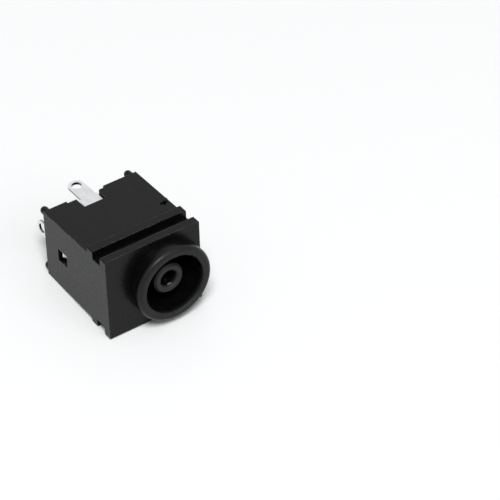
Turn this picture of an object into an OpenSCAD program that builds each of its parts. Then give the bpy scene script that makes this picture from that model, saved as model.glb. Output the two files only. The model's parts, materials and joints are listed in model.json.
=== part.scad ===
// Barrel power socket with a centre-pin contact and a break switch.
//
// The frame is the socket's own: the plug axis is the Y axis, the panel side of the
// flange lies on y = 0, +Y runs into the body towards the solder lugs and +Z is up.
// The body's middle sits off the plug axis, so sizes across the body are given from
// the body's middle and body_frame() carries them over.

/* [Body] */
// Width of the flange and the body, which are flush on both sides
body_w = 11.5; // [11.3:0.1:12.5]
// Length from the panel side of the flange to the rear face
body_len = 11.95; // [11.9:0.05:13]
// Height of the body just behind the rib
body_h_front = 8.55; // [8.4:0.05:9]
// Height of the body at its rear face
body_h_rear = 8.3; // [7.8:0.1:8.4]

/* [Flange, groove and rib] */
// Height of the flange
flange_h = 10.1; // [10:0.1:11]
// Thickness of the flange
flange_t = 0.95; // [0.8:0.05:1.2]
// Corner radius of the flange and the rib
flange_corner = 0.15; // [0.05:0.05:0.6]
// Width of the panel groove between the flange and the rib
groove_w = 1.45; // [1.2:0.05:1.7]
// Height of the body over the floors of the groove
groove_h = 8.0; // [7.95:0.05:8.3]
// Thickness of the rib behind the groove
rib_t = 1.0; // [0.8:0.05:1.2]
// Height of the rib
rib_h = 9.9; // [9.3:0.1:10]

/* [Socket] */
// Plug axis to the right of the body's middle
socket_x = 1.45; // [1.4:0.05:1.7]
// Plug axis above the body's middle
socket_z = -0.15; // [-0.3:0.05:0]
// Outer diameter of the collar in front of the flange
collar_d = 9.0; // [8.7:0.1:9.2]
// Length of the collar in front of the flange
collar_len = 1.8; // [1.2:0.1:3]
// Radius on the outer edge of the collar
collar_edge = 0.5; // [0.1:0.05:0.6]
// Bore that takes the plug's barrel
bore_d = 6.95; // [6.7:0.05:7.05]
// Depth of the bore behind the flange's panel side
bore_depth = 7.2; // [6.8:0.1:7.4]
// Lead-in chamfer at the mouth of the bore
bore_chamfer = 0.15; // [0.05:0.05:0.3]
// Outer diameter of the centre post
post_d = 3.5; // [3.3:0.1:3.8]
// Distance of the post's tip behind the collar's rim
post_recess = 1.2; // [0.8:0.1:1.6]
// Chamfer on the outer edge of the post's tip
post_edge = 0.2; // [0.05:0.05:0.3]
// Hole in the post for the plug's pin
post_hole_d = 2.0; // [1.85:0.05:2.1]
// Countersink at the mouth of that hole
hole_chamfer = 0.15; // [0.05:0.05:0.25]
// Outer diameter of the plug's barrel
plug_d = 6.5; // [6.3:0.1:6.6]
// Diameter of the plug's pin
plug_pin_d = 1.4; // [1.3:0.05:1.45]

/* [Compartments] */
// Thickness of the left side wall
side_wall = 0.9; // [0.8:0.05:1.0]
// Floor of the spring chamber below the body's middle
chamber_floor = 2.85; // [2.8:0.05:2.95]
// Ceiling of the spring chamber above the body's middle
chamber_ceiling = 2.35; // [2.3:0.05:2.45]
// Front end of the spring chamber behind the panel side
chamber_front = 1.6; // [1.4:0.1:1.9]
// Thickness of the wall between the bore and the spring chamber
bore_wall = 0.7; // [0.6:0.05:0.8]
// Thickness of the wall that closes the bore
bore_floor = 0.8; // [0.7:0.05:1.0]
// Height of the slot through which the spring reaches the plug
slot_h = 2.6; // [2.4:0.1:3]
// Front end of the slot behind the panel side
slot_front = 3.5; // [3.2:0.1:3.8]
// Left face of the column, right of the body's middle
column_left = -0.65; // [-0.75:0.05:-0.55]
// Right face of the column, right of the body's middle
column_right = 2.95; // [2.7:0.05:3.2]
// Ceiling of the open right compartment above the body's middle
cavity_ceiling = 2.75; // [2.5:0.05:2.8]
// Height of the ledge that keeps the sleeve contact on the side wall
ledge_h = 0.35; // [0.2:0.05:0.5]
// Width of that ledge
ledge_w = 1.5; // [1:0.1:1.7]
// Width of the relief slot in the bottom wall
relief_w = 0.5; // [0.4:0.05:0.7]
// Depth of the relief slot below the chamber's floor
relief_depth = 0.45; // [0.3:0.05:0.5]
// Left edge of the relief slot, left of the body's middle
relief_left = 1.9; // [1.8:0.05:2.0]
// Length of the relief slot
relief_len = 1.4; // [1:0.1:2]

/* [Rear face] */
// Depth of the step across the middle of the rear face
step_depth = 0.3; // [0.1:0.05:0.4]
// Left end of the step, left of the body's middle
step_left = 2.9; // [2.5:0.1:3.4]
// Right end of the step, right of the body's middle
step_right = 1.65; // [1.6:0.05:2.2]
// Diameter of the rear nubs
nub_d = 0.9; // [0.7:0.05:0.95]
// Length of the rear nubs
nub_len = 1.1; // [0.8:0.05:1.3]
// Distance of the nubs' middles from the side faces
nub_inset_x = 0.57; // [0.5:0.01:0.6]
// Distance of the nubs' middles from the top and bottom faces
nub_inset_z = 0.5; // [0.48:0.01:0.55]

/* [Gate mark] */
// Distance of the gate stub's middle from the right side
gate_inset = 0.3; // [0.28:0.02:0.6]
// Distance of the gate stub's middle behind the panel side
gate_y = 5.85; // [5:0.05:8]
// Diameter of the gate stub
gate_stub_d = 0.5; // [0.3:0.05:0.55]
// Height of the gate stub above the top face
gate_stub_h = 0.15; // [0.1:0.05:0.25]
// Diameter of the dimple beside the stub
gate_dimple_d = 0.7; // [0.5:0.05:0.9]
// Depth of the dimple
gate_dimple_depth = 0.15; // [0.1:0.05:0.25]
// Web between the stub and the dimple
gate_web = 0.05; // [0.03:0.01:0.1]
// Direction from the stub to the dimple, in degrees from the left towards the flange
gate_turn = 35; // [0:5:60]

/* [Solder lugs] */
// Width of a lug, whose end is half round
lug_w = 1.8; // [1.7:0.1:2.1]
// Hole in a lug
lug_hole_d = 1.1; // [0.9:0.1:1.2]
// Sleeve contact: lug hole behind the body's rear face
sleeve_lug = 2.25; // [1.7:0.05:2.5]
// Switch contact: lug hole behind the body's rear face
switch_lug = 2.0; // [1.3:0.05:2.2]
// Pin contact: lug hole behind the body's rear face
pin_lug = 1.85; // [1.7:0.05:2.5]
// Height of the sleeve and pin lugs' middles above the body's middle
lug_z = 0.1; // [-0.1:0.05:0.3]

/* [Sleeve contact] */
// Thickness of the sheet
sleeve_t = 0.25; // [0.2:0.05:0.3]
// Clearance of the contact plates to the compartment above and below
plate_clearance = 0.1; // [0.05:0.01:0.15]
// Distance of the plate's rear edge in front of the body's rear face
sleeve_inset = 0.25; // [0.1:0.05:0.4]
// Front end of the full-height plate behind the panel side
sleeve_plate_front = 4.2; // [3.9:0.1:5]
// Middle of the front fold behind the panel side
fold_y = 3.2; // [3.1:0.1:3.4]
// Radius of the front fold at the middle of the sheet
fold_r = 0.6; // [0.5:0.05:0.65]
// Lean of the spring arm towards the plug, in degrees
arm_lean = 38; // [35:1:42]
// Width of the spring arm
arm_w = 2.0; // [1.8:0.1:2.2]
// How far a plug pushes the spring aside
spring_press = 0.25; // [0.15:0.05:0.35]
// Middle of the spring's bulge behind the panel side
bulge_y = 5.95; // [5.8:0.05:6.1]
// Length of the flat on top of the bulge
bulge_flat = 0.6; // [0.4:0.1:0.8]
// Depth of the dips before and behind the bulge
bulge_dip = 0.4; // [0.3:0.05:0.45]
// Width of the barb that locks the contact
barb_w = 0.9; // [0.7:0.1:1]
// Length of the barb
barb_len = 1.35; // [1.2:0.05:1.4]
// How far the barb stands out of the plate
barb_rise = 0.5; // [0.3:0.05:0.6]
// Cut round the barb
barb_cut = 0.1; // [0.05:0.01:0.15]

/* [Barb window] */
// Front end of the window behind the panel side
window_y = 7.7; // [7.6:0.1:8]
// Length of the window
window_len = 1.75; // [1.7:0.05:1.9]
// Height of the window
window_h = 1.5; // [1.4:0.05:1.8]

/* [Switch contact] */
// Thickness of the sheet
switch_t = 0.3; // [0.2:0.05:0.35]
// Gap between the strip and the column's left face
switch_gap = 0.3; // [0.2:0.05:0.35]
// Height of the strip's lower bend above the body's middle
strip_bend_z = 0.1; // [0:0.1:0.4]
// How far the strip leans to the left above that bend
strip_lean = 0.6; // [0.5:0.05:0.65]
// Height of the strip's upper bend above the body's middle
strip_top_z = 2.1; // [1.9:0.05:2.2]
// Radius of the top fold at the middle of the sheet
top_fold_r = 0.55; // [0.5:0.05:0.6]
// Right edge of the top plate, right of the body's middle
switch_right = 0.65; // [0.5:0.05:0.7]
// Middle of the lug, right of the body's middle
switch_lug_x = -0.4; // [-0.45:0.05:-0.3]
// Length of the strip from front to rear
strip_len = 2.1; // [1.9:0.05:2.3]
// Length of the strip where it passes the notch
neck_len = 1.5; // [1.3:0.05:1.6]
// Length of the finger in front of the strip
finger_len = 1.4; // [1.2:0.05:1.45]
// Height of the finger
finger_h = 1.8; // [1.6:0.1:2]
// Top of the finger above the body's middle
finger_top = -0.1; // [-0.2:0.05:0]
// Overlap of the spring's tail and the finger
touch_len = 0.6; // [0.4:0.05:0.7]

/* [Notch] */
// Length of the notch in the top wall from the rear face
notch_len = 1.9; // [1.85:0.05:2.2]
// Clearance of the top plate to the right edge of the notch
notch_clearance = 0.1; // [0.05:0.05:0.3]
// Radius of the notch's rear corner
notch_corner = 0.4; // [0.2:0.05:0.6]
// Height of the shelf under the top plate above the body's middle
shelf_z = 3.6; // [3.4:0.05:3.65]

/* [Pin contact] */
// Thickness of the sheet
pin_t = 0.45; // [0.35:0.05:0.5]
// Left face of the rear plate, right of the body's middle
pin_plate_x = 1.0; // [0.9:0.05:1.1]
// Distance of the plate's rear edge in front of the body's rear face
pin_inset = 0.1; // [0.05:0.05:0.3]
// Front end of the rear plate behind the panel side
pin_plate_front = 9.0; // [8.9:0.1:9.4]
// Front end of the jog behind the panel side
pin_jog_front = 8.2; // [8.1:0.1:8.4]
// Solid root of the tines behind the panel side
tine_root = 7.5; // [7.4:0.1:7.8]
// Distance of the lower tine's tip behind the post's tip
tine_recess = 0.1; // [0:0.05:0.4]
// How much shorter the upper tine is
tine_stagger = 0.5; // [0.4:0.1:1]
// Thickness of a tine
tine_t = 0.22; // [0.18:0.01:0.24]
// How far a plug's pin opens each tine
tine_press = 0.12; // [0.05:0.01:0.14]
// Length of the wider mouth of the pin contact's slot
slot_mouth = 1.5; // [1:0.1:1.8]
// Clearance of the pin contact in that mouth
mouth_clearance = 0.05; // [0.03:0.01:0.1]

/* [Hidden] */
$fn = 72;

plastic = "#2b2c2d";
tin = "#c9ccce";
// Reach of a cutting body past the face that it cuts
past = 1;

// Y stations behind the panel side
groove_y = flange_t;
rib_y = groove_y + groove_w;
body_y = rib_y + rib_t;
rear_y = bore_depth + bore_floor;
bridge_y = body_len - step_depth;

// Socket
collar_r = collar_d / 2;
bore_r = bore_d / 2;
post_tip = post_recess - collar_len;

// Compartments, from the body's middle
left_x = -body_w / 2;
chamber_x = left_x + side_wall;
bore_left = socket_x - bore_r;
chamber_right = bore_left - bore_wall;
contact_bottom = plate_clearance - chamber_floor;
contact_top = chamber_ceiling - plate_clearance;

// Sleeve contact, from the body's middle
sleeve_mid = chamber_x + sleeve_t / 2;
sleeve_rear = body_len - sleeve_inset;
fold_x = sleeve_mid + fold_r;
arm_start = [fold_x + fold_r * cos(arm_lean), fold_y - fold_r * sin(arm_lean)];
bulge_x = socket_x - plug_d / 2 + spring_press - sleeve_t / 2;
dip_x = bulge_x - bulge_dip;
knee_y = arm_start.y + (dip_x - arm_start.x) / tan(arm_lean);
barb_y = window_y + sleeve_t;

// Switch contact, from the body's middle
strip_x = column_left - switch_gap - switch_t / 2;
neck_x = strip_x - strip_lean;
strip_rear = bridge_y;
lug_plane = shelf_z + switch_t / 2;
finger_face = strip_x - switch_t / 2;
finger_tip = strip_rear - strip_len - finger_len;
tail_x = finger_face - sleeve_t / 2;
tail_end = finger_tip + touch_len;

// Pin contact, from the body's middle
pin_mid = pin_plate_x + pin_t / 2;
pin_rear = body_len - pin_inset;
tine_in = plug_pin_d / 2 - tine_press;
tine_out = tine_in + tine_t;

// Moves from the body's middle to the plug axis.
module body_frame() {
    translate([-socket_x, 0, -socket_z]) children();
}

// Box between two opposite corners.
module block(low, high) {
    translate(low) cube(high - low);
}

// Outline in X and Z, drawn out along +Y.
module along_y(from, to) {
    translate([0, to, 0]) rotate([90, 0, 0]) linear_extrude(to - from) children();
}

// Outline in Y and Z, drawn out along +X.
module along_x(from, to) {
    translate([from, 0, 0]) rotate([90, 0, 90]) linear_extrude(to - from) children();
}

// Cylinder along +Y.
module rod(d, from, to) {
    translate([0, to, 0]) rotate([90, 0, 0]) cylinder(d = d, h = to - from);
}

// Rectangle round the middle, with round corners.
module rounded_plate(w, h, r) {
    square([w - 2 * r, h], center = true);
    square([w, h - 2 * r], center = true);
    for (x = [-1, 1], z = [-1, 1])
        translate([x * (w / 2 - r), z * (h / 2 - r)]) circle(r);
}

// Bent sheet seen edge on: straight stretches with round corners.
module bent_sheet(points, t) {
    for (i = [0 : len(points) - 2]) {
        run = points[i + 1] - points[i];
        translate(points[i]) rotate(atan2(run.y, run.x)) translate([0, -t / 2]) square([norm(run), t]);
        if (i > 0) translate(points[i]) circle(d = t);
    }
}

// Lug outline along +X from the origin, half round about its hole.
module lug_outline(reach) {
    difference() {
        union() {
            translate([0, -lug_w / 2]) square([reach, lug_w]);
            translate([reach, 0]) circle(d = lug_w);
        }
        translate([reach, 0]) circle(d = lug_hole_d);
    }
}

// ---- Housing ----

// Flange, groove, rib and tapering body.
module shell() {
    along_y(0, flange_t) rounded_plate(body_w, flange_h, flange_corner);
    along_y(0, body_y) square([body_w, groove_h], center = true);
    along_y(rib_y, body_y) rounded_plate(body_w, rib_h, flange_corner);
    along_x(left_x, -left_x)
        polygon([[rib_y, -body_h_front / 2], [body_y, -body_h_front / 2], [body_len, -body_h_rear / 2],
                 [body_len, body_h_rear / 2], [body_y, body_h_front / 2], [rib_y, body_h_front / 2]]);
}

// Collar round the mouth, in the plug's frame.
module collar() {
    rotate([-90, 0, 0]) rotate_extrude() {
        translate([0, -collar_len]) square([collar_r - collar_edge, collar_len + flange_t]);
        translate([0, collar_edge - collar_len]) square([collar_r, collar_len - collar_edge]);
        translate([collar_r - collar_edge, collar_edge - collar_len]) circle(collar_edge);
    }
}

// Ring space for the plug's barrel with the centre post left standing, in the plug's frame.
module barrel_space() {
    difference() {
        union() {
            rod(bore_d, -collar_len - past, bore_depth);
            translate([0, bore_chamfer - collar_len, 0]) rotate([90, 0, 0])
                cylinder(r1 = bore_r, r2 = bore_r + 2 * bore_chamfer, h = 2 * bore_chamfer);
        }
        union() {
            rod(post_d, post_tip + post_edge, bore_depth + past);
            translate([0, post_tip + post_edge, 0]) rotate([90, 0, 0])
                cylinder(d1 = post_d, d2 = post_d - 2 * post_edge, h = post_edge);
        }
    }
}

// Compartments that are open to the rear.
module compartments() {
    block([chamber_x, chamber_front, -chamber_floor], [chamber_right, rear_y + past, chamber_ceiling]);
    block([chamber_x, rear_y, -chamber_floor], [column_left, body_len + past, chamber_ceiling]);
    block([chamber_right - past / 2, slot_front, socket_z - slot_h / 2],
          [column_left, rear_y + past, socket_z + slot_h / 2]);
    block([column_right, rear_y, -chamber_floor], [-left_x + past, body_len + past, cavity_ceiling]);
    block([-relief_left, body_len - relief_len, -chamber_floor - relief_depth],
          [relief_w - relief_left, body_len + past, -chamber_floor + past]);
}

// Notch in the top wall for the switch contact, with a round rear corner.
module notch() {
    notch_left = neck_x - switch_t / 2;
    notch_right = switch_right + notch_clearance;
    translate([0, 0, shelf_z]) linear_extrude(body_h_front) {
        translate([notch_left, body_len - notch_len]) square([notch_right - notch_left, notch_len + past]);
        difference() {
            translate([notch_right - past, bridge_y - notch_corner])
                square([past + notch_corner, notch_corner + past]);
            translate([notch_right + notch_corner, bridge_y - notch_corner]) circle(notch_corner);
        }
    }
    block([notch_left, body_len - notch_len, chamber_ceiling - past],
          [column_left, body_len + past, shelf_z + past]);
}

// Step across the middle of the rear face.
module rear_step() {
    block([-step_left, bridge_y, -body_h_front], [step_right, body_len + past, body_h_front]);
}

// Window for the barb in the left side wall.
module barb_window() {
    block([left_x - past, window_y, lug_z - window_h / 2],
          [chamber_x + past, window_y + window_len, lug_z + window_h / 2]);
}

// Slot that takes the pin contact: close round its front part, wider at the mouth.
module pin_slot() {
    pin_plates();
    block([pin_plate_x - mouth_clearance, pin_rear - slot_mouth, contact_bottom - mouth_clearance],
          [pin_plate_x + pin_t + mouth_clearance, body_len + past, contact_top + mouth_clearance]);
}

// Ledge beside the sleeve contact and rib behind the switch contact.
module keepers() {
    block([chamber_x + sleeve_t, rear_y + bore_floor, -chamber_floor - past / 2],
          [chamber_x + sleeve_t + ledge_w, body_len, ledge_h - chamber_floor]);
    block([strip_x + switch_t / 2, strip_rear - strip_len, -chamber_floor - past / 2],
          [column_left + past / 2, strip_rear, strip_bend_z - past / 2]);
}

// Domed nub on the rear face.
module rear_nub() {
    dome_y = body_len + nub_len - nub_d / 2;
    rod(nub_d, body_len - past / 2, dome_y);
    translate([0, dome_y, 0]) sphere(d = nub_d);
}

// Hole in the post, with a countersunk mouth, in the plug's frame.
module pin_hole() {
    rod(post_hole_d, post_tip - past, tine_root);
    translate([0, post_tip + hole_chamfer, 0]) rotate([90, 0, 0])
        cylinder(d1 = post_hole_d, d2 = post_hole_d + 4 * hole_chamfer, h = 2 * hole_chamfer);
}

// Height of the sloping top face at a distance behind the panel side.
function top_at(y) =
    body_h_front / 2 - (body_h_front - body_h_rear) / 2 * (y - body_y) / (body_len - body_y);

// Stub that the moulding gate left near the right edge of the top face.
module gate_stub() {
    translate([-left_x - gate_inset, gate_y, top_at(gate_y) - gate_dimple_depth])
        cylinder(d = gate_stub_d, h = gate_dimple_depth + gate_stub_h);
}

// Dimple beside the gate stub.
module gate_dimple() {
    apart = gate_stub_d / 2 + gate_web + gate_dimple_d / 2;
    translate([-left_x - gate_inset - apart * cos(gate_turn), gate_y - apart * sin(gate_turn),
               top_at(gate_y) - gate_dimple_depth]) cylinder(d = gate_dimple_d, h = past);
}

module housing() {
    color(plastic) {
        difference() {
            union() {
                body_frame() shell();
                collar();
            }
            barrel_space();
            pin_hole();
            body_frame() {
                compartments();
                notch();
                rear_step();
                barb_window();
                pin_slot();
                gate_dimple();
            }
        }
        body_frame() {
            keepers();
            gate_stub();
            for (x = [-1, 1], z = [-1, 1])
                translate([x * (body_w / 2 - nub_inset_x), 0, z * (body_h_rear / 2 - nub_inset_z)])
                    rear_nub();
        }
    }
}

// ---- Contacts ----

// Barb lanced out of the plate, its free end towards the rear.
module barb() {
    translate([0, 0, lug_z - barb_w / 2]) linear_extrude(barb_w)
        bent_sheet([[sleeve_mid, barb_y - barb_cut], [sleeve_mid, barb_y],
                    [sleeve_mid - barb_rise, barb_y + barb_len]], sleeve_t);
}

// Plate on the left side wall, with its lug and the cut of the barb.
module sleeve_plate() {
    difference() {
        union() {
            block([chamber_x, sleeve_plate_front, contact_bottom],
                  [chamber_x + sleeve_t, sleeve_rear, contact_top]);
            block([chamber_x, fold_y, socket_z - arm_w / 2],
                  [chamber_x + sleeve_t, sleeve_plate_front + past, socket_z + arm_w / 2]);
            translate([0, sleeve_rear - past, lug_z]) along_x(chamber_x, chamber_x + sleeve_t)
                lug_outline(body_len + sleeve_lug - sleeve_rear + past);
        }
        block([chamber_x - past, barb_y, lug_z - barb_w / 2 - barb_cut],
              [chamber_x + past, barb_y + barb_len + barb_cut, lug_z + barb_w / 2 + barb_cut]);
    }
}

// Front fold and the spring arm that bulges into the bore and ends on the switch finger.
module spring_arm() {
    translate([0, 0, socket_z - arm_w / 2]) {
        translate([fold_x, fold_y, 0]) rotate(180) rotate_extrude(angle = 180 - arm_lean)
            translate([fold_r - sleeve_t / 2, 0]) square([sleeve_t, arm_w]);
        linear_extrude(arm_w)
            bent_sheet([arm_start, [dip_x, knee_y], [bulge_x, bulge_y - bulge_flat / 2],
                        [bulge_x, bulge_y + bulge_flat / 2], [dip_x, rear_y - bore_floor],
                        [tail_x, finger_tip], [tail_x, tail_end]], sleeve_t);
    }
}

module sleeve_contact() {
    color(tin) body_frame() {
        sleeve_plate();
        barb();
        spring_arm();
    }
}

// Strip from the chamber's floor up to the top fold, seen from the rear.
module strip_profile(foot) {
    bent_sheet([[strip_x, foot], [strip_x, strip_bend_z], [neck_x, strip_top_z],
                [neck_x, lug_plane - top_fold_r]], switch_t);
}

module switch_contact() {
    neck_front = strip_rear - neck_len;
    color(tin) body_frame() {
        along_y(neck_front, strip_rear) strip_profile(-chamber_floor);
        intersection() {
            along_y(strip_rear - strip_len, strip_rear) strip_profile(-chamber_floor);
            block([left_x, 0, -body_h_front], [-left_x, body_len, strip_top_z]);
        }
        block([finger_face, finger_tip, finger_top - finger_h],
              [finger_face + switch_t, strip_rear - strip_len + past / 2, finger_top]);
        translate([neck_x + top_fold_r, strip_rear, lug_plane - top_fold_r]) rotate([90, 0, 0])
            rotate(90) rotate_extrude(angle = 90)
            translate([top_fold_r - switch_t / 2, 0]) square([switch_t, neck_len]);
        block([neck_x + top_fold_r, neck_front, shelf_z], [switch_right, strip_rear, shelf_z + switch_t]);
        translate([switch_lug_x, strip_rear - switch_t, shelf_z]) rotate(90)
            linear_extrude(switch_t) lug_outline(body_len + switch_lug - strip_rear + switch_t);
    }
}

// Plates of the pin contact inside the column, without the lug and the tines.
module pin_plates() {
    block([pin_plate_x, pin_plate_front, contact_bottom], [pin_plate_x + pin_t, pin_rear, contact_top]);
    translate([0, 0, socket_z - tine_out]) linear_extrude(2 * tine_out)
        bent_sheet([[pin_mid, pin_plate_front + pin_t], [pin_mid, pin_plate_front],
                    [socket_x, pin_jog_front], [socket_x, tine_root]], pin_t);
}

// Tine above (side = 1) or below (side = -1) the plug's pin.
module tine(side) {
    low = side > 0 ? tine_in : -tine_out;
    tip = post_tip + tine_recess + (side > 0 ? tine_stagger : 0);
    block([socket_x - pin_t / 2, tip, socket_z + low],
          [socket_x + pin_t / 2, tine_root, socket_z + low + tine_t]);
}

module pin_contact() {
    color(tin) body_frame() {
        pin_plates();
        tine(1);
        tine(-1);
        translate([0, pin_rear - past, lug_z]) along_x(pin_plate_x, pin_plate_x + pin_t)
            lug_outline(body_len + pin_lug - pin_rear + past);
    }
}

housing();
sleeve_contact();
switch_contact();
pin_contact();
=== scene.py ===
"""Looks of a dc barrel jack: a satin black moulding with tinned sheet contacts on a pale floor."""
import json
import math

import bpy
from mathutils import Matrix, Vector


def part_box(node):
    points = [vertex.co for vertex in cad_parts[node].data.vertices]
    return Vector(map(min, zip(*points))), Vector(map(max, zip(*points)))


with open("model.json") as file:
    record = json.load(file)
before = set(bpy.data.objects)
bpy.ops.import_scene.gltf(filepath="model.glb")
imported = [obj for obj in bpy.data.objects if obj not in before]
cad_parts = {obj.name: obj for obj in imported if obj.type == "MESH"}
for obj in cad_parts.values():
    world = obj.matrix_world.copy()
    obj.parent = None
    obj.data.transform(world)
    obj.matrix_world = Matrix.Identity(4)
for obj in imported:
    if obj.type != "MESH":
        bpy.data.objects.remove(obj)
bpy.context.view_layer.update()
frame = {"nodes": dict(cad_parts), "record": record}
MM = 0.001
HOUSING = frame["nodes"]["housing"]

# ---- Camera ----

VIEW_AZIMUTH = math.radians(-34.31)
VIEW_ELEVATION = math.radians(38.91)
VIEW_ROLL = math.radians(-1.52)
VIEW_DISTANCE = 263.3 * MM
VIEW_AIM = Vector((10.53, 0.0, -1.64)) * MM  # in the middle of the picture, right of the jack
LENS, SENSOR = 180.0, 36.0
CLIP_START, CLIP_END = 10 * MM, 10.0


def add_camera():
    """Camera at the viewing angle, with the jack left of the middle."""
    across = math.cos(VIEW_ELEVATION)
    back = Vector((math.sin(VIEW_AZIMUTH) * across, -math.cos(VIEW_AZIMUTH) * across,
                   math.sin(VIEW_ELEVATION)))
    level = Vector((0, 0, 1)).cross(back).normalized()
    above = back.cross(level)
    right = level * math.cos(VIEW_ROLL) + above * math.sin(VIEW_ROLL)
    up = above * math.cos(VIEW_ROLL) - level * math.sin(VIEW_ROLL)
    data = bpy.data.cameras.new("camera")
    data.sensor_width = SENSOR
    data.lens = LENS
    data.clip_start, data.clip_end = CLIP_START, CLIP_END
    camera = bpy.data.objects.new("camera", data)
    bpy.context.scene.collection.objects.link(camera)
    turn = Matrix((right, up, back)).transposed().to_4x4()
    camera.matrix_world = Matrix.Translation(VIEW_AIM + back * VIEW_DISTANCE) @ turn
    bpy.context.scene.camera = camera


# ---- Node helpers ----

COLOUR_MIX_FACTOR, COLOUR_MIX_A, COLOUR_MIX_B, COLOUR_MIX_RESULT = 0, 6, 7, 2  # sockets of the mix node
SOFT_SAMPLES = 8  # rays of the nodes that look at the shape around a point


class Nodes:
    """Short way to build the node tree of a material or a world."""

    def __init__(self, owner):
        owner.use_nodes = True
        self.tree = owner.node_tree
        self.tree.nodes.clear()

    def add(self, kind, settings=None, **inputs):
        """A node with its properties set and its inputs set to values or linked to sockets."""
        node = self.tree.nodes.new(kind)
        for name, value in (settings or {}).items():
            setattr(node, name, value)
        for name, value in inputs.items():
            self.feed(node, name.replace("_", " "), value)
        return node

    def feed(self, node, key, value):
        """Sets or links the input with this name or number."""
        if isinstance(value, bpy.types.NodeSocket):
            self.tree.links.new(value, node.inputs[key])
        else:
            node.inputs[key].default_value = value

    def noise(self, where, size, detail=2.0, rough=0.5, stretch=None):
        """Noise whose features are about size metres across, from 0 to 1."""
        if stretch:
            where = self.add("ShaderNodeMapping", Vector=where, Scale=stretch).outputs["Vector"]
        return self.add("ShaderNodeTexNoise", Vector=where, Scale=1 / size, Detail=detail,
                        Roughness=rough).outputs["Fac"]

    def remap(self, value, low, high, to_low=0.0, to_high=1.0):
        """The value's way from low to high, as a soft step from to_low to to_high."""
        return self.add("ShaderNodeMapRange", {"interpolation_type": "SMOOTHSTEP"}, Value=value,
                        From_Min=low, From_Max=high, To_Min=to_low, To_Max=to_high).outputs["Result"]

    def fade(self, value, start, end):
        """1 where the value is below start, 0 where it is above end."""
        return self.remap(value, start, end, 1.0, 0.0)

    def mix(self, factor, a, b):
        """Colour a where the factor is 0, colour b where it is 1."""
        node = self.add("ShaderNodeMix", {"data_type": "RGBA"})
        self.feed(node, COLOUR_MIX_FACTOR, factor)
        self.feed(node, COLOUR_MIX_A, a)
        self.feed(node, COLOUR_MIX_B, b)
        return node.outputs[COLOUR_MIX_RESULT]

    def maths(self, operation, a, b=0.0):
        node = self.add("ShaderNodeMath", {"operation": operation})
        self.feed(node, 0, a)
        self.feed(node, 1, b)
        return node.outputs[0]

    def vector(self, operation, a, b, result="Vector"):
        node = self.add("ShaderNodeVectorMath", {"operation": operation})
        self.feed(node, 0, a)
        self.feed(node, 1, b)
        return node.outputs[result]

    def bump(self, height, depth, strength, normal=None):
        """Normal of a surface with this height, on top of the given normal."""
        node = self.add("ShaderNodeBump", Height=height, Distance=depth, Strength=strength)
        if normal:
            self.feed(node, "Normal", normal)
        return node.outputs["Normal"]

    def edge_mask(self, radius, low, high):
        """1 on edges that stick out, within radius of them, and 0 on flats and in corners."""
        flat = self.add("ShaderNodeNewGeometry").outputs["Normal"]
        soft = self.add("ShaderNodeBevel", {"samples": SOFT_SAMPLES}, Radius=radius).outputs["Normal"]
        apart = self.maths("SUBTRACT", 1.0, self.vector("DOT_PRODUCT", flat, soft, "Value"))
        light = self.add("ShaderNodeAmbientOcclusion", {"samples": SOFT_SAMPLES},
                         Distance=1.5 * radius).outputs["AO"]
        return self.maths("MULTIPLY", self.remap(apart, low, high), self.remap(light, 0.75, 0.92))


def near_axis(n, where, point, axis, reach, blur):
    """1 within reach of the line through point along axis, 0 further out."""
    offset = n.vector("SUBTRACT", where, tuple(point))
    along = n.vector("DOT_PRODUCT", offset, tuple(axis), "Value")
    square = n.maths("SUBTRACT", n.vector("DOT_PRODUCT", offset, offset, "Value"),
                     n.maths("MULTIPLY", along, along))
    return n.fade(n.maths("SQRT", square), reach, reach + blur)


def mount(name):
    """Place, direction and radius of a mount in the record."""
    found = [m for m in frame["record"]["mounts"] if m["name"] == name][0]
    return Vector(found["pos_m"]), Vector(found["axis"]), found["dims"]["r_mm"] * MM


# ---- Moulding ----

PLASTIC_DARK = (0.0016, 0.0017, 0.0018, 1)
PLASTIC_PALE = (0.0030, 0.0031, 0.0033, 1)
PLASTIC_PAINTED_LIGHT = (0.024, 0.024, 0.025, 1)  # painted light on the collar's rim and the post's end
PLASTIC_EDGE_HIGHLIGHT = (0.052, 0.052, 0.055, 1)    # painted highlight along the outer edges
DUST = (0.09, 0.09, 0.09, 1)
EDGE_HIGHLIGHT_REACH = 0.22 * MM    # how far the painted edge highlight goes in from an edge
RIM_LIGHT_REACH = 0.3 * MM  # how far behind the collar's front the rim gets painted light
RIM_LIGHT_BLUR = 0.4 * MM
RIM_PAINTED_LIGHT = 0.35            # strength of the painted light on the rim, set against the post's
POST_LIGHT_REACH = 1.5 * MM
POST_LIGHT_BLUR = 0.3 * MM
AXIS_BLUR = 0.1 * MM      # soft edge of what depends on the distance from the plug axis


def painted_rim_light(n, where, grain):
    """Mask of the collar's rim and the post's end, where light is painted on."""
    place, axis, radius = mount("socket")
    along = n.add("ShaderNodeSeparateXYZ", Vector=where).outputs["Y"]
    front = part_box("housing")[0].y
    on_rim = n.fade(along, front + RIM_LIGHT_REACH, front + RIM_LIGHT_REACH + RIM_LIGHT_BLUR)
    on_post = n.maths("MULTIPLY", near_axis(n, where, place, axis, radius, AXIS_BLUR),
                      n.fade(along, front + POST_LIGHT_REACH, front + POST_LIGHT_REACH + POST_LIGHT_BLUR))
    both = n.maths("MAXIMUM", n.maths("MULTIPLY", on_rim, RIM_PAINTED_LIGHT), on_post)
    return n.maths("MULTIPLY", both, n.remap(grain, 0.30, 0.62, 0.55, 1.0))


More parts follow.
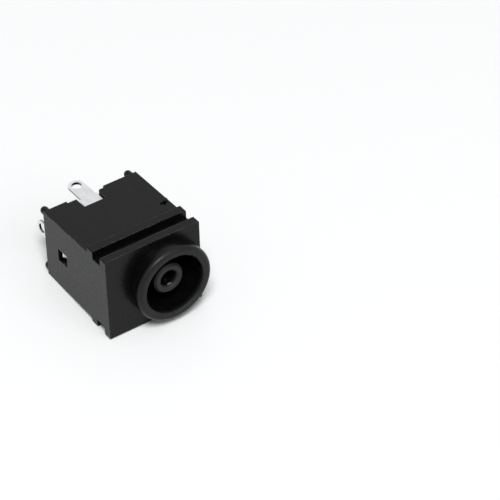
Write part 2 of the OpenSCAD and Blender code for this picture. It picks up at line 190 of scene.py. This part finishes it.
def black_plastic():
    """Satin moulded plastic, with painted light on the rim and the post's end, painted highlights along
    the outer edges, and dust.
    """
    material = bpy.data.materials.new("satin_black_plastic")
    n = Nodes(material)
    where = n.add("ShaderNodeTexCoord").outputs["Object"]
    cloud = n.noise(where, 1.6 * MM, 3.0)
    flow = n.noise(where, 0.9 * MM, 3.0, 0.6, stretch=(1.0, 0.25, 1.0))
    grain = n.noise(where, 0.07 * MM, 3.0, 0.6)
    mottle = n.noise(where, 0.28 * MM, 3.0, 0.6)
    # painted highlight on the outer edges, broken up at random
    edge_highlight = n.maths("MULTIPLY", n.edge_mask(EDGE_HIGHLIGHT_REACH, 0.01, 0.12), n.remap(mottle, 0.38, 0.60, 0.1))
    edge_highlight = n.maths("MULTIPLY", edge_highlight, n.remap(cloud, 0.35, 0.60, 0.25))
    speck = n.remap(n.noise(where, 0.16 * MM, 1.0), 0.78, 0.84)
    painted_light = painted_rim_light(n, where, grain)
    colour = n.mix(n.remap(flow, 0.3, 0.7), PLASTIC_DARK, PLASTIC_PALE)
    # painted light: paler colour on the collar's rim and the post's end
    colour = n.mix(painted_light, colour, PLASTIC_PAINTED_LIGHT)
    colour = n.mix(edge_highlight, colour, PLASTIC_EDGE_HIGHLIGHT)
    colour = n.mix(speck, colour, DUST)
    rough = n.remap(mottle, 0.30, 0.70, 0.20, 0.32)
    rough = n.maths("ADD", rough, n.remap(grain, 0.3, 0.7, -0.03, 0.05))
    rough = n.maths("ADD", rough, n.maths("MULTIPLY", painted_light, 0.2))
    normal = n.bump(grain, 0.004 * MM, 0.6, n.bump(mottle, 0.012 * MM, 0.5))
    shader = n.add("ShaderNodeBsdfPrincipled", Base_Color=colour, Roughness=rough, Normal=normal,
                   IOR=1.5, Specular_IOR_Level=0.18)
    n.add("ShaderNodeOutputMaterial", Surface=shader.outputs["BSDF"])
    return material


# ---- Contacts ----

TIN_DARK = (0.77, 0.78, 0.80, 1)
TIN_PALE = (0.86, 0.865, 0.88, 1)
TIN_STAINED = (0.74, 0.70, 0.61, 1)
CUT_EDGE = (0.36, 0.355, 0.35, 1)
# painted shade on the walls of the wire hole
HOLE_WALL_SHADE = (0.15, 0.145, 0.14, 1)
TINE_SHADE = (0.16, 0.155, 0.15, 1)          # painted shade on the tines inside the post
HOLE_BLUR = 0.06 * MM
TINE_REACH = 0.8                       # of the post's radius
TINES_END, TIN_START = 4 * MM, 6 * MM  # along the plug axis: painted shade in front, plain tin behind
SHEETS = {  # direction across each contact's sheet, and the mount at its wire hole
    "sleeve_contact": ((1, 0, 0), "sleeve_lug_hole"),
    "switch_contact": ((0, 0, 1), "switch_lug_hole"),
    "pin_contact": ((1, 0, 0), "pin_lug_hole"),
}


def tinned_sheet(name, across, hole):
    """Bright tin, duller on the punched edges, with painted shade on the tines inside the post and on
    the walls of the wire hole.
    """
    material = bpy.data.materials.new(name)
    n = Nodes(material)
    where = n.add("ShaderNodeTexCoord").outputs["Object"]
    cloud = n.noise(where, 0.7 * MM, 4.0, 0.6)
    lines = n.noise(where, 0.05 * MM, stretch=(1.0, 0.06, 1.0))
    dents = n.noise(where, 0.9 * MM, 1.0)
    stain = n.remap(n.noise(where, 1.3 * MM, 3.0), 0.55, 0.75, 0.0, 0.25)
    facing = n.vector("DOT_PRODUCT", n.add("ShaderNodeNewGeometry").outputs["Normal"], across, "Value")
    cut = n.fade(n.maths("ABSOLUTE", facing), 0.45, 0.8)
    hole_place, hole_axis, hole_radius = mount(hole)
    # painted shade on the wire hole's walls
    hole_shade = n.maths("MULTIPLY", cut,
                      near_axis(n, where, hole_place, hole_axis, hole_radius, HOLE_BLUR))
    post_place, post_axis, post_radius = mount("socket")
    along = n.add("ShaderNodeSeparateXYZ", Vector=where).outputs["Y"]
    # painted shade on the tines inside the post
    post_shade = n.maths("MULTIPLY",
                      near_axis(n, where, post_place, post_axis, TINE_REACH * post_radius, AXIS_BLUR),
                      n.fade(along, TINES_END, TIN_START))
    colour = n.mix(n.remap(cloud, 0.3, 0.7), TIN_DARK, TIN_PALE)
    colour = n.mix(stain, colour, TIN_STAINED)
    colour = n.mix(cut, colour, CUT_EDGE)
    colour = n.mix(hole_shade, colour, HOLE_WALL_SHADE)
    colour = n.mix(post_shade, colour, TINE_SHADE)
    rough = n.remap(cloud, 0.3, 0.7, 0.24, 0.40)
    normal = n.bump(lines, 0.0008 * MM, 0.5, n.bump(dents, 0.008 * MM, 0.5))
    shader = n.add("ShaderNodeBsdfPrincipled", Base_Color=colour, Metallic=1.0, Roughness=rough,
                   Normal=normal)
    n.add("ShaderNodeOutputMaterial", Surface=shader.outputs["BSDF"])
    return material


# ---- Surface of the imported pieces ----

HOUSING_EDGE = 0.10 * MM
SHEET_EDGE = 0.03 * MM
FLAT_ANGLE = math.radians(1.0)   # facets that meet at less are merged
SHARP_ANGLE = math.radians(40)   # edges that turn by more are rounded


def dress(node, material, edge):
    """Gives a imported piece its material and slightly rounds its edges."""
    node.data.materials.clear()
    node.data.materials.append(material)
    merge = node.modifiers.new("merge flat facets", "DECIMATE")
    merge.decimate_type = "DISSOLVE"
    merge.angle_limit = FLAT_ANGLE
    bevel = node.modifiers.new("rounded edges", "BEVEL")
    bevel.width = edge
    bevel.segments = 3
    bevel.limit_method = "ANGLE"
    bevel.angle_limit = SHARP_ANGLE
    bevel.harden_normals = True


# ---- Floor and light ----

FLOOR_COLOUR = (0.945 * 0.99, 0.945, 0.945 * 1.005, 1)
FLOOR_REACH = 3.0       # from the middle to each side, in metres
STATION = 0.02 * MM     # step along the housing at which its underside is read
WORLD_LIGHT = 0.24      # what the surroundings add to the light
WORLD_SEEN = 0.86       # what the camera, gloss and glass show of them
LIGHTS = {  # place, side of the square in metres, and power in watts
    "key_softbox": ((-0.34, -0.60, 1.08), 0.42, 13.2),
    "front_fill": ((0.3, -1.0, 0.7), 0.7, 2.4),
    "overhead_fill": ((0.0, 0.0, 1.3), 0.7, 1.0),
}


def floor_paint():
    """Plain pale floor with a slight gloss."""
    material = bpy.data.materials.new("pale_floor")
    n = Nodes(material)
    shader = n.add("ShaderNodeBsdfPrincipled", Base_Color=FLOOR_COLOUR, Roughness=0.35, IOR=1.3)
    n.add("ShaderNodeOutputMaterial", Surface=shader.outputs["BSDF"])
    return material


def resting_line():
    """Front and rear points of the line that the underside of the housing rests on."""
    lowest = {}
    for vertex in HOUSING.data.vertices:
        station = round(vertex.co.y / STATION)
        if station not in lowest or vertex.co.z < lowest[station].z:
            lowest[station] = vertex.co
    low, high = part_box("housing")
    middle = (low.y + high.y) / 2
    fronts = [p for p in lowest.values() if p.y < middle]
    rears = [p for p in lowest.values() if p.y > middle]
    pairs = [(f, r) for f in fronts for r in rears]
    # The line through two of the points that is lowest at the middle has no point under it
    return min(pairs, key=lambda pair: pair[0].z + (pair[1].z - pair[0].z)
               * (middle - pair[0].y) / (pair[1].y - pair[0].y))


def add_floor():
    """Floor under the lower edge of the rib and the lower nubs, which the jack stands on."""
    front, rear = resting_line()
    tilt = math.atan2(rear.z - front.z, rear.y - front.y)
    mesh = bpy.data.meshes.new("floor")
    corners = [(x * FLOOR_REACH, y * FLOOR_REACH, 0) for x, y in ((-1, -1), (1, -1), (1, 1), (-1, 1))]
    mesh.from_pydata(corners, [], [(0, 1, 2, 3)])
    floor = bpy.data.objects.new("floor", mesh)
    bpy.context.scene.collection.objects.link(floor)
    floor.matrix_world = Matrix.Translation((0, front.y, front.z)) @ Matrix.Rotation(tilt, 4, "X")
    mesh.materials.append(floor_paint())


def add_light(name, place, size, power):
    """Square soft light that faces the jack."""
    data = bpy.data.lights.new(name, "AREA")
    data.shape = "SQUARE"
    data.size = size
    data.energy = power
    light = bpy.data.objects.new(name, data)
    bpy.context.scene.collection.objects.link(light)
    light.location = place
    light.rotation_mode = "QUATERNION"
    light.rotation_quaternion = Vector(place).to_track_quat("Z", "Y")


def add_world():
    """Even white surroundings, brighter to the eye than as a light."""
    world = bpy.data.worlds.new("surroundings")
    bpy.context.scene.world = world
    n = Nodes(world)
    path = n.add("ShaderNodeLightPath").outputs
    seen = n.maths("MAXIMUM", path["Is Camera Ray"], path["Is Glossy Ray"])
    seen = n.maths("MAXIMUM", seen, path["Is Transmission Ray"])
    strength = n.remap(seen, 0.0, 1.0, WORLD_LIGHT, WORLD_SEEN)
    shader = n.add("ShaderNodeBackground", Color=(1, 1, 1, 1), Strength=strength)
    n.add("ShaderNodeOutputWorld", Surface=shader.outputs["Background"])


add_camera()
dress(HOUSING, black_plastic(), HOUSING_EDGE)
for node, (across, hole) in SHEETS.items():
    dress(frame["nodes"][node], tinned_sheet("tinned_" + node, across, hole), SHEET_EDGE)
add_floor()
add_world()
for name, (place, size, power) in LIGHTS.items():
    add_light(name, place, size, power)

bpy.context.scene.view_settings.view_transform = "Standard"
